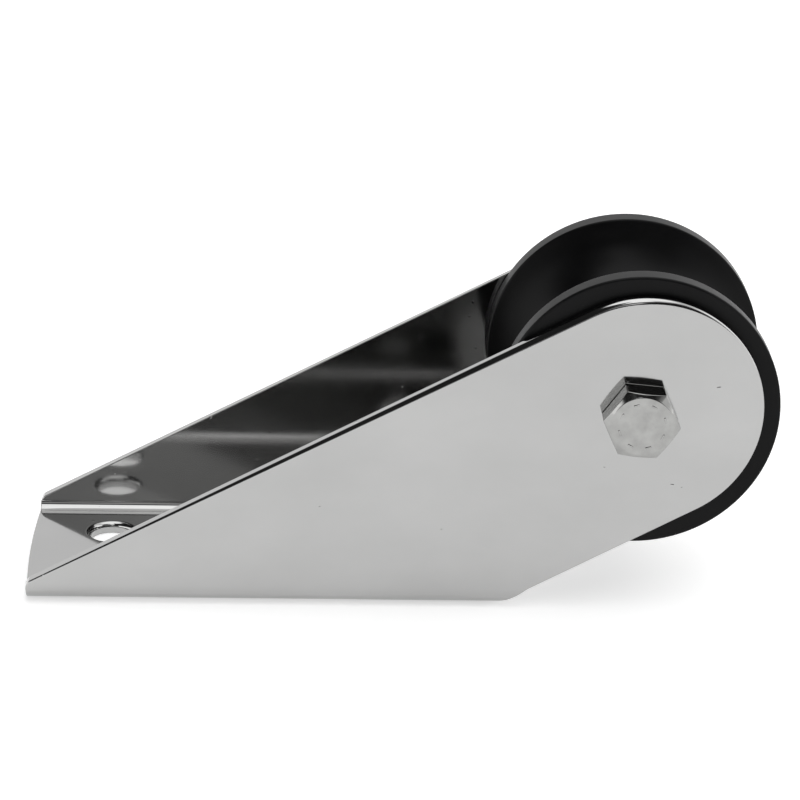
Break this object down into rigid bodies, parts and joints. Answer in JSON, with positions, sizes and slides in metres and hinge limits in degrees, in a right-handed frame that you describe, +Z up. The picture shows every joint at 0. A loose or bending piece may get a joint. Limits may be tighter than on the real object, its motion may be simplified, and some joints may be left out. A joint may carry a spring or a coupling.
{
  "type": "bow roller",
  "caption": "Folded stainless channel with tapered cheeks and rounded nose, carrying a grooved rubber roller on a hexagon bolt, to lead an anchor rope over a bow.",
  "frame": {"origin": "on the underside of the floor, midway between the two rear mounting holes", "axes": "+X forward along the boat, from the low rear edge to the roller; +Y across, towards the nut; +Z up, away from the deck"},
  "size_m": [0.1917, 0.0816, 0.0895],
  "materials": {
    "polished_steel": "polished",
    "fastener_steel": "satin",
    "turned_steel": "satin",
    "black_rubber": "matte",
    "white_nylon": "satin"
  },
  "bodies": {
    "bracket": {"bracket": "polished_steel", "axle_bolt": "fastener_steel", "axle_sleeve": "turned_steel", "nut_washer": "fastener_steel", "lock_nut": "fastener_steel", "nut_insert": "white_nylon"},
    "roller": {"roller": "black_rubber", "bush_near": "white_nylon", "bush_far": "white_nylon"}
  },
  "joints": [
    {"name": "roller_spin", "type": "hinge", "parent": "bracket", "child": "roller", "pos_m": [0.135, 0, 0.0535], "axis": [0, 1, 0], "continuous": true}
  ]
}
